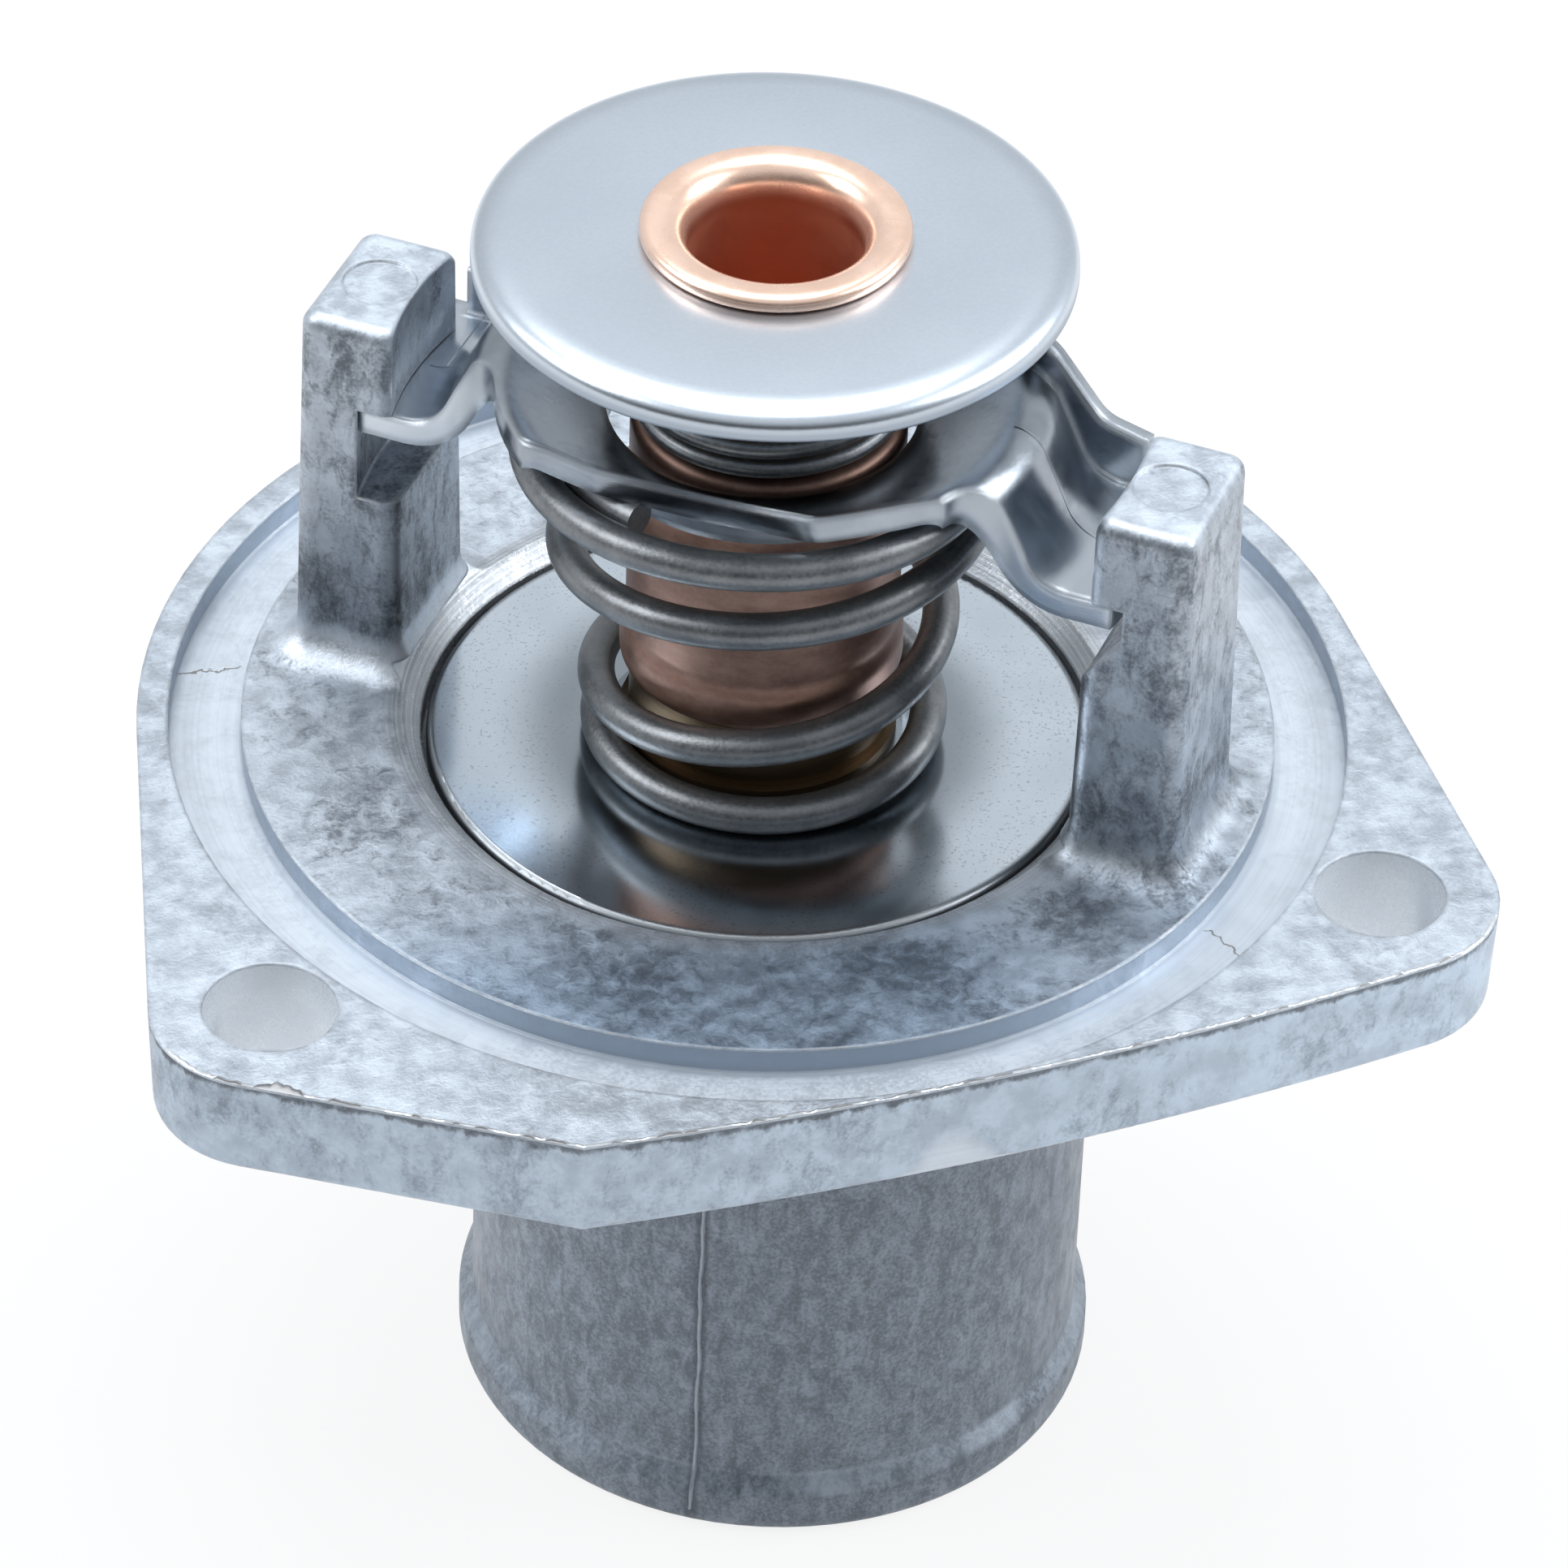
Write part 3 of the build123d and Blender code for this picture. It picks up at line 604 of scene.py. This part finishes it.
def coil_tree(radii, rises):
    """Wound wire. Its radius and rise follow curves through points of (turns, millimetres)."""
    tree = bpy.data.node_groups.new("coil", "GeometryNodeTree")
    for name in ("turns", "start", "first height", "foot x", "foot y", "head x", "head y", "wire radius"):
        tree.interface.new_socket(name, in_out="INPUT", socket_type="NodeSocketFloat")
    tree.interface.new_socket("material", in_out="INPUT", socket_type="NodeSocketMaterial")
    tree.interface.new_socket("shape", in_out="OUTPUT", socket_type="NodeSocketGeometry")
    graph = Graph(tree)
    given = tree.nodes.new("NodeGroupInput")
    size = {socket.name: Value(graph, socket) for socket in given.outputs}
    line = graph.node("GeometryNodeCurvePrimitiveLine")
    path = graph.node("GeometryNodeResampleCurve", inputs={"Curve": line, "Count": coil_points})
    share = graph.node("GeometryNodeInputIndex") * (1 / (coil_points - 1))
    angle = size["start"] + share * size["turns"] * (2 * pi)
    radius = graph.profile(share, radii) * mm
    height = size["first height"] + graph.profile(share, rises) * mm
    cosine = graph.node("ShaderNodeMath", {"operation": "COSINE"}, {0: angle})
    sine = graph.node("ShaderNodeMath", {"operation": "SINE"}, {0: angle})
    across = radius * cosine + size["foot x"] + (size["head x"] - size["foot x"]) * share
    along = radius * sine + size["foot y"] + (size["head y"] - size["foot y"]) * share
    place = graph.node("ShaderNodeCombineXYZ", inputs={0: across, 1: along, 2: height})
    wound = graph.node("GeometryNodeSetPosition", inputs={"Geometry": path, "Position": place})
    inputs = {"Resolution": ring_points, "Radius": size["wire radius"]}
    ring = graph.node("GeometryNodeCurvePrimitiveCircle", inputs=inputs)
    inputs = {"Curve": wound, "Profile Curve": ring, "Fill Caps": True}
    wire = graph.node("GeometryNodeCurveToMesh", inputs=inputs)
    real = graph.node("GeometryNodeRealizeInstances", inputs={"Geometry": wire})
    painted = graph.node("GeometryNodeSetMaterial", inputs={"Geometry": real, "Material": size["material"]})
    end = tree.nodes.new("NodeGroupOutput")
    tree.links.new(painted.source, end.inputs[0])
    return tree


def grown(name, tree, inputs):
    """Plain mesh that a shape tree makes from its inputs."""
    holder = new_object(name + "_maker", bpy.data.meshes.new(name + "_maker"))
    modifier = holder.modifiers.new("shape", "NODES")
    modifier.node_group = tree
    for item in tree.interface.items_tree:
        if item.in_out == "INPUT":
            modifier[item.identifier] = inputs[item.name]
    bpy.context.view_layer.update()
    evaluated = holder.evaluated_get(bpy.context.evaluated_depsgraph_get())
    mesh = bpy.data.meshes.new_from_object(evaluated)
    holder.modifiers.clear()
    bpy.data.objects.remove(holder)
    return mesh


def smooth_over(mesh):
    """Shade a mesh smoothly, apart from its sharp edges."""
    for face in mesh.polygons:
        face.use_smooth = True
    mesh.set_sharp_from_angle(angle=sharp_angle)


def keep_normals(mesh, solid):
    """Shade each face corner as the solid does there, with the normal nearest to the face's own."""
    corners = KDTree(len(solid.loops))
    for spot, corner in enumerate(solid.loops):
        corners.insert(solid.vertices[corner.vertex_index].co, spot)
    corners.balance()
    normals = []
    for face in mesh.polygons:
        for vertex in face.vertices:
            near = corners.find_range(mesh.vertices[vertex].co, normal_reach)
            choice = [solid.corner_normals[spot].vector for place, spot, distance in near]
            normals.append(max(choice, key=face.normal.dot, default=face.normal).copy())
    mesh.normals_split_custom_set(normals)


def place_piece(name, mesh, body, slot, *nodes, finish=None):
    """Add a mesh as a piece that rides on a body and stands for the named nodes, in the named finish."""
    mesh.name = name
    piece = new_object(name, mesh)
    if not mesh.has_custom_normals:
        smooth_over(mesh)
    if finish:
        mesh.materials.append(materials[finish])
    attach(piece, body)
    if nodes:
        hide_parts(*nodes)
    return piece


def make_springs():
    """The conical main spring, riding on the cover, and the small bypass spring, riding on the element."""
    low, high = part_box("main_spring")
    inputs = {
        "turns": spring_turns,
        "start": spring_start,
        "first height": low.z + wire_r,
        "foot x": spring_foot[0],
        "foot y": spring_foot[1],
        "head x": spring_head[0],
        "head y": spring_head[1],
        "wire radius": wire_r,
        "material": materials["spring_steel"],
    }
    mesh = grown("main_coil", coil_tree(spring_radii, spring_rises), inputs)
    main = place_piece("main_coil", mesh, "cover", "spring_steel", "main_spring")
    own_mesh(main)
    low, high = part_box("bypass_spring")
    inputs |= {"turns": bypass_turns, "start": bypass_start, "first height": low.z + bypass_wire_r}
    inputs |= {"foot x": 0.0, "foot y": 0.0, "head x": 0.0, "head y": 0.0, "wire radius": bypass_wire_r}
    mesh = grown("bypass_coil", coil_tree(bypass_radii, bypass_rises), inputs)
    small = place_piece("bypass_coil", mesh, "element", "spring_steel", "bypass_spring")
    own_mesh(small)


def flange_rim():
    """Points along the upper edge of the flange, in order, read from the construction's mesh."""
    shape = merged("housing")
    level = 1e-6
    upright, flat = 0.3, 0.99
    follow = {}
    for edge in shape.edges:
        ends = [vert.co for vert in edge.verts]
        on_face = all(abs(end.z) < level and hypot(end.x, end.y) > groove_out_r + 0.2 * mm for end in ends)
        if not on_face or len(edge.link_faces) != 2:
            continue
        tilts = sorted(abs(face.normal.z) for face in edge.link_faces)
        middle = (ends[0] + ends[1]) / 2
        in_hole = hypot(abs(middle.x) - bolt_half_spacing, middle.y - bolt_line_y) < bolt_hole_r + 0.5 * mm
        if tilts[0] < upright and tilts[1] > flat and not in_hole:
            for one, other in (edge.verts, reversed(edge.verts)):
                follow.setdefault(one.index, []).append(other.index)
    places = [vert.co.copy() for vert in shape.verts]
    shape.free()
    start = min(follow)
    chain = [start, follow[start][0]]
    while True:
        ahead = [spot for spot in follow[chain[-1]] if spot != chain[-2]]
        if not ahead or ahead[0] == start:
            break
        chain.append(ahead[0])
    return [places[spot] for spot in chain]


def evenly(points, step):
    """Closed line of points at an even spacing."""
    spaced = []
    carried = 0.0
    for one, other in zip(points, points[1:] + points[:1]):
        length = (other - one).length
        while carried < length:
            spaced.append(one.lerp(other, carried / length))
            carried += step
        carried -= length
    return spaced


def tube_between(rows):
    """Closed skin over rows of points that have the same count each, with the first and last row capped."""
    shape = bmesh.new()
    made = [[shape.verts.new(point) for point in row] for row in rows]
    count = len(rows[0])
    for near, far in zip(made, made[1:]):
        for spot in range(count):
            after = (spot + 1) % count
            shape.faces.new((near[spot], near[after], far[after], far[spot]))
    shape.faces.new(made[0])
    shape.faces.new(made[-1])
    bmesh.ops.recalc_face_normals(shape, faces=shape.faces)
    return as_mesh("skin", shape)


def make_burr():
    """Rough bright ridge that the trimming left on the front edge of the flange, with a torn nick."""
    rim = evenly(flange_rim(), burr_step)
    if (rim[1] - rim[0]).cross(rim[0]).z > 0:
        rim.reverse()
    count = len(rim)
    front = [spot for spot in range(count) if rim[spot].y < front_y]
    first = min(front, key=lambda spot: rim[spot].x)
    last = first + len(front) - 1
    up = Vector((0, 0, 1))
    rows = []
    for spot in range(first, last + 1):
        place = rim[spot % count]
        ahead = (rim[(spot + 1) % count] - rim[(spot - 1) % count]).normalized()
        inward = Vector((-ahead.y, ahead.x, 0))
        if inward.dot(place) > 0:
            inward = -inward
        wave = noise.noise(place * 700) * 0.55 + noise.noise(place * 2400) * 0.45
        torn = max(0.0, 1 - hypot(place.x - nick_place[0], place.y - nick_place[1]) / nick_reach)
        share = min(1.0, (spot - first) / burr_fade, (last - spot) / burr_fade)
        height = max(0.10 + 0.30 * wave + 0.8 * torn * (1 + wave), 0.01) * mm * share
        height = max(height, burr_least)
        width = (0.34 + 0.22 * wave + 0.7 * torn) * mm
        row = [(0.02 * mm, -0.12 * mm), (0.02 * mm, 0.3 * height), (0.3 * width, height)]
        row += [(0.7 * width, 0.6 * height), (width, -0.02 * mm), (0.5 * width, -0.15 * mm)]
        rows.append([place + inward * across + up * rise for across, rise in row])
    place_piece("flange_burr", tube_between(rows), "cover", "cast_metal", finish="burr")


def rounded(corners, steps=8):
    """Line through corners given as (radius, height, cut before, cut after), each cut off by a curve."""
    line = []
    count = len(corners)
    for spot, (across, up, before, after) in enumerate(corners):
        corner = Vector((across, up))
        if not before:
            line.append(corner)
            continue
        start = corner + (Vector(corners[spot - 1][:2]) - corner).normalized() * before
        end = corner + (Vector(corners[(spot + 1) % count][:2]) - corner).normalized() * after
        for step in range(steps + 1):
            share = step / steps
            line.append(start.lerp(corner, share).lerp(corner.lerp(end, share), share))
    return line


def turned_skin(line, segments=144):
    """Skin of a turned piece: a closed line of (radius, height) points swept round the valve axis."""
    shape = bmesh.new()
    made = []
    for segment in range(segments):
        angle = 2 * pi * segment / segments
        made.append([shape.verts.new((across * cos(angle), across * sin(angle), up)) for across, up in line])
    for segment in range(segments):
        near, far = made[segment], made[(segment + 1) % segments]
        for spot in range(len(line)):
            after = (spot + 1) % len(line)
            shape.faces.new((near[spot], near[after], far[after], far[spot]))
    bmesh.ops.remove_doubles(shape, verts=shape.verts, dist=merge_gap)
    bmesh.ops.recalc_face_normals(shape, faces=shape.faces)
    return as_mesh("turned", shape)


def clear_space(surface, turn, side):
    """Block over the lug of one side. Its underside follows the lug's face a little above it, as it is just in
    front of the place at the same distance from the valve axis, where no wall stands."""
    columns = round((clear_out - clear_in) / clear_step)
    rows = round((clear_rear - clear_front) / clear_step)
    block = bmesh.new()
    low, high = [], []
    for column in range(columns + 1):
        across = clear_in + (clear_out - clear_in) * column / columns
        for row in range(rows + 1):
            along = clear_front + (clear_rear - clear_front) * row / rows
            reach = hypot(across, along)
            before = side * (reach * reach - clear_probe * clear_probe) ** 0.5
            above = turn @ Vector((before, -clear_probe, clear_top))
            level = surface.ray_cast(above, Vector((0, 0, -1)))[0].z + clear_gap
            low.append(block.verts.new(turn @ Vector((side * across, along, level))))
            high.append(block.verts.new(turn @ Vector((side * across, along, clear_top))))
    width = rows + 1
    for column in range(columns):
        for row in range(rows):
            spot = column * width + row
            for sheet in (low, high):
                corners = (spot, spot + 1, spot + width + 1, spot + width)
                block.faces.new([sheet[corner] for corner in corners])
    border = list(range(rows))
    border += [column * width + rows for column in range(columns)]
    border += [columns * width + row for row in range(rows, 0, -1)]
    border += [column * width for column in range(columns, 0, -1)]
    for one, other in zip(border, border[1:] + border[:1]):
        block.faces.new((low[one], low[other], high[other], high[one]))
    bmesh.ops.recalc_face_normals(block, faces=block.faces)
    return new_object("clear_space", as_mesh("clear_space", block))


def make_bridge():
    """The bridge with its lugs open to the front: in the construction thin walls cross them."""
    shape = merged("bridge")
    surface = BVHTree.FromBMesh(shape)
    holder = new_object("bridge_copy", as_mesh("bridge_copy", shape))
    turn = Matrix.Rotation(bridge_turn, 4, "Z") @ Matrix.Translation((-bridge_shift, 0, 0))
    cutters = [clear_space(surface, turn, side) for side in (-1, 1)]
    for cutter in cutters:
        cut = holder.modifiers.new("cut", "BOOLEAN")
        cut.operation = "DIFFERENCE"
        cut.solver = "EXACT"
        cut.object = cutter
    bpy.context.view_layer.update()
    mesh = bpy.data.meshes.new_from_object(holder.evaluated_get(bpy.context.evaluated_depsgraph_get()))
    smooth_over(mesh)
    keep_normals(mesh, frame["nodes"]["bridge"].data)
    for spare in (holder, *cutters):
        bpy.data.objects.remove(spare)
    mesh.materials.clear()
    place_piece("stamped_bridge", mesh, "cover", "stamped_steel", "bridge", finish="stamped_steel")


def make_cup():
    """Copper cup with its neck, drawn out at the mouth into a rolled lip."""
    lip_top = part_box("wax_cup")[1].z
    taper_foot, taper_top = cup_foot + 2.4 * mm, cup_foot + 3.4 * mm
    corners = [(cavity_r, cup_foot, 0, 0), (cup_r, cup_foot, 0.9 * mm, 0.9 * mm)]
    corners += [(cup_r, taper_foot, 0.4 * mm, 0.4 * mm), (cup_body_r, taper_top, 0.4 * mm, 0.4 * mm)]
    corners += [(cup_body_r, cup_shoulder, 1.1 * mm, 1.1 * mm), (tube_out_r, cup_shoulder, 0.3 * mm, 0.3 * mm)]
    corners += [(tube_out_r, lip_bottom, 0, 0), (lip_r, lip_bottom, 0.5 * mm, 0.45 * mm)]
    corners += [(lip_r, lip_top, 0.64 * mm, 0.85 * mm), (tube_in_r, lip_top, 1.75 * mm, 2.6 * mm)]
    corners += [(tube_in_r, tube_floor, 0.6 * mm, 0.6 * mm), (0, tube_floor, 0, 0), (0, cavity_top, 0, 0)]
    corners += [(cavity_r, cavity_top, 0.4 * mm, 0.4 * mm)]
    mesh = turned_skin(rounded(corners))
    place_piece("copper_cup", mesh, "element", "copper", "wax_cup", finish="copper")


def make_bypass_disc():
    """Bypass disc, flat in the middle and curving softly down into its rim."""
    outer_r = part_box("bypass_disc")[1].x
    inner_r = outer_r - bypass_t
    foot = bypass_top - bypass_rim
    under = bypass_top - bypass_t
    corners = [(bypass_bore, bypass_top, 0.15 * mm, 0.15 * mm), (outer_r, bypass_top, 2.5 * mm, 1.3 * mm)]
    corners += [(outer_r, foot, 0.3 * mm, 0.4 * mm), (inner_r, foot, 0.4 * mm, 0.3 * mm)]
    corners += [(inner_r, under, 0.7 * mm, 2.0 * mm), (bypass_bore, under, 0.15 * mm, 0.15 * mm)]
    mesh = turned_skin(rounded(corners))
    place_piece("bypass_plate", mesh, "bypass", "satin_steel", "bypass_disc", finish="satin_steel")


def make_seam():
    """Parting line of the casting, a thin uneven rib down the front of the hose neck."""
    outward = Vector((cos(seam_turn), sin(seam_turn), 0))
    sideways = Vector((-outward.y, outward.x, 0))
    center = Vector((*neck_shift, 0))
    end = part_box("housing")[0].z
    bead_foot = end + bead_land
    rows = []
    height = seam_start
    while height > end + seam_end_gap:
        rise = min(max((bead_foot + bead_step - height) / bead_step, 0.0), 1.0)
        at = neck_r + bead_out * rise
        wave = noise.noise(Vector((0, 0, height * 1100)))
        drift = noise.noise(Vector((3, 0, height * 300))) * 0.12 * mm
        out = (0.13 + 0.07 * wave) * mm
        half = (0.20 + 0.06 * wave) * mm
        spine = center + outward * at + sideways * drift + Vector((0, 0, height))
        row = [(-half, -seam_depth), (-0.4 * half, out), (0.3 * half, 0.8 * out), (half, -seam_depth)]
        row.append((0, -0.2 * mm))
        rows.append([spine + sideways * across + outward * lift for across, lift in row])
        height -= seam_step
    place_piece("parting_line", tube_between(rows), "cover", "cast_metal", finish="seam")


def add_camera():
    """Camera at the photograph's place, aimed at the origin and then turned a little."""
    eye = Vector(camera_place)
    ahead = -eye.normalized()
    right = ahead.cross(Vector((0, 0, 1))).normalized()
    rows = Matrix((right, ahead.cross(right), ahead))
    yaw = Matrix.Rotation(camera_yaw, 3, "Y")
    pitch = Matrix.Rotation(camera_pitch, 3, "X")
    roll = Matrix.Rotation(camera_roll, 3, "Z")
    turned = roll @ pitch @ yaw @ rows
    data = bpy.data.cameras.new("camera")
    data.lens = camera_lens
    data.sensor_width = camera_sensor
    camera = new_object("camera", data)
    columns = Matrix((turned[0], -turned[1], -turned[2])).transposed()
    camera.matrix_world = Matrix.Translation(eye) @ columns.to_4x4()
    bpy.context.scene.camera = camera


def add_floor():
    """White floor under the end of the neck, white in the metal too, with a faint shadow on it."""
    mesh = bpy.data.meshes.new("floor")
    signs = [(-1, -1), (1, -1), (1, 1), (-1, 1)]
    corners = [(across * floor_half, along * floor_half, cad_box[0][2]) for across, along in signs]
    mesh.from_pydata(corners, [], [(0, 1, 2, 3)])
    floor = new_object("floor", mesh)
    made = bpy.data.materials.new("floor_white")
    made.use_nodes = True
    graph = Graph(made.node_tree)
    ray = made.node_tree.nodes.new("ShaderNodeLightPath")
    seen = Value(graph, ray.outputs["Is Camera Ray"]) + Value(graph, ray.outputs["Is Glossy Ray"])
    seen = seen + Value(graph, ray.outputs["Is Transmission Ray"])
    paper = graph.node("ShaderNodeBsdfDiffuse", inputs={"Color": (0.8, 0.81, 0.83, 1)})
    glow = graph.node("ShaderNodeEmission", inputs={"Color": (1, 1, 1, 1), "Strength": 1.0})
    share = graph.band(seen, 0.0, 1.0, 0.0, 0.85)
    mixed = graph.node("ShaderNodeMixShader", inputs={0: share, 1: paper, 2: glow})
    output = made.node_tree.nodes["Material Output"]
    made.node_tree.links.new(mixed.source, output.inputs["Surface"])
    mesh.materials.append(made)


def add_world():
    """Pale studio that darkens towards the camera near the horizon."""
    world = bpy.data.worlds.new("studio")
    bpy.context.scene.world = world
    world.use_nodes = True
    graph = Graph(world.node_tree)
    x, y, z = graph.axes(graph.node("ShaderNodeTexCoord", output="Generated"))
    behind = Vector((camera_place[0], camera_place[1], 0)).normalized()
    facing = x * behind.x + y * behind.y
    side = graph.band(facing, -0.1, 0.85, 0.88, 0.06) + x * 0.12
    above = graph.band(z, 0.25, 0.85)
    shade = side + above * (0.97 - side)
    colour = graph.mix(shade, (0.0, 0.0, 0.0), (0.925, 0.965, 1.0))
    back = world.node_tree.nodes["Background"]
    world.node_tree.links.new(colour.source, back.inputs["Color"])
    back.inputs["Strength"].default_value = 0.75


def add_lamp(name, place, size, power):
    """Square lamp that faces the object."""
    data = bpy.data.lights.new(name, "AREA")
    data.size = size
    data.energy = power
    data.color = (0.97, 0.985, 1.0)
    lamp = new_object(name, data)
    aim = (-Vector(place)).to_track_quat("-Z", "Y")
    lamp.matrix_world = Matrix.Translation(place) @ aim.to_matrix().to_4x4()


def add_lamps():
    """Two soft boxes at the sides and one overhead."""
    add_lamp("lamp_left", (-0.7, 0.1, 0.6), 0.5, 4.0)
    add_lamp("lamp_right", (0.7, -0.1, 0.5), 0.5, 4.5)
    add_lamp("lamp_top", (0.0, 0.25, 0.9), 0.6, 5.0)


dress_nodes()
make_springs()
make_burr()
make_seam()
make_bridge()
make_cup()
make_bypass_disc()
add_camera()
add_floor()
add_world()
add_lamps()
bpy.context.scene.view_settings.view_transform = "Standard"
